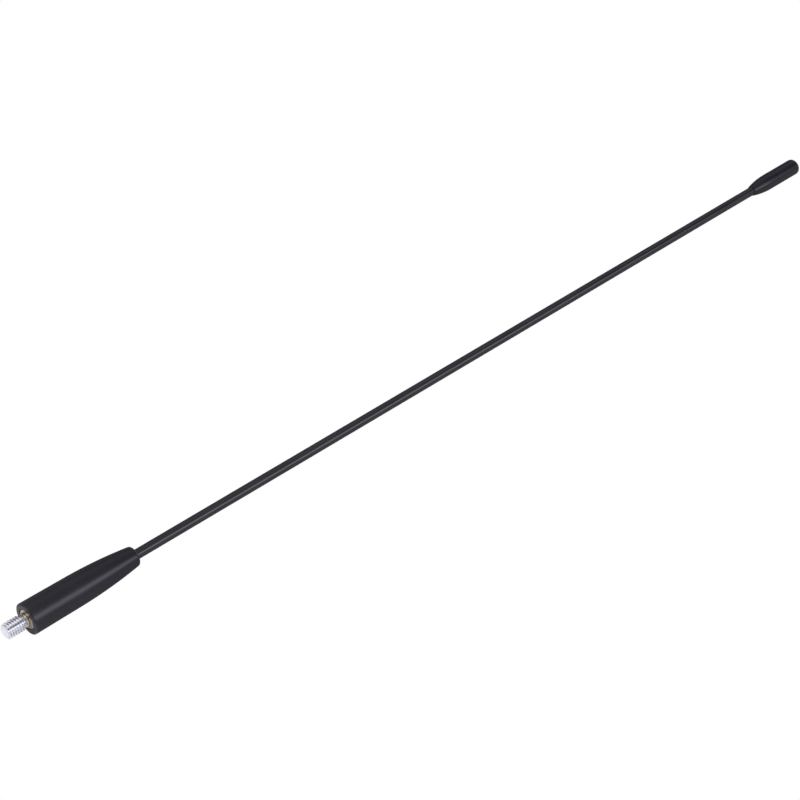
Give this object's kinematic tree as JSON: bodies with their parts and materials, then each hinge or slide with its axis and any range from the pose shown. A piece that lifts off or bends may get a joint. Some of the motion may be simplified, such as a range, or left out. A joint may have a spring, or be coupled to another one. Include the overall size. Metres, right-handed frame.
{
  "type": "car mast aerial",
  "caption": "Screw-on roof mast aerial for a car: M6 threaded stud, turned ferrule, tapered moulded boot, straight black rod and a rounded end cap.",
  "frame": {"origin": "on the mast's axis, in the plane of the boot's flat rim, which seats on the aerial's base", "axes": "+Z along the mast from the rim to the end cap; -Z out of the boot along the threaded stud; the part is round, so X and Y are free"},
  "size_m": [0.0122, 0.0122, 0.4272],
  "materials": {
    "nickel_plated_steel": "bright nickel-plated turned steel",
    "turned_brass": "bare turned brass, slightly dulled",
    "moulded_black": "satin moulded black plastic",
    "coated_rod_black": "smooth satin black coating on steel"
  },
  "bodies": {
    "root": {"threaded_stud": "nickel_plated_steel", "rod_ferrule": "turned_brass", "base_boot": "moulded_black", "mast_rod": "coated_rod_black", "tip_cap": "moulded_black"}
  },
  "joints": []
}
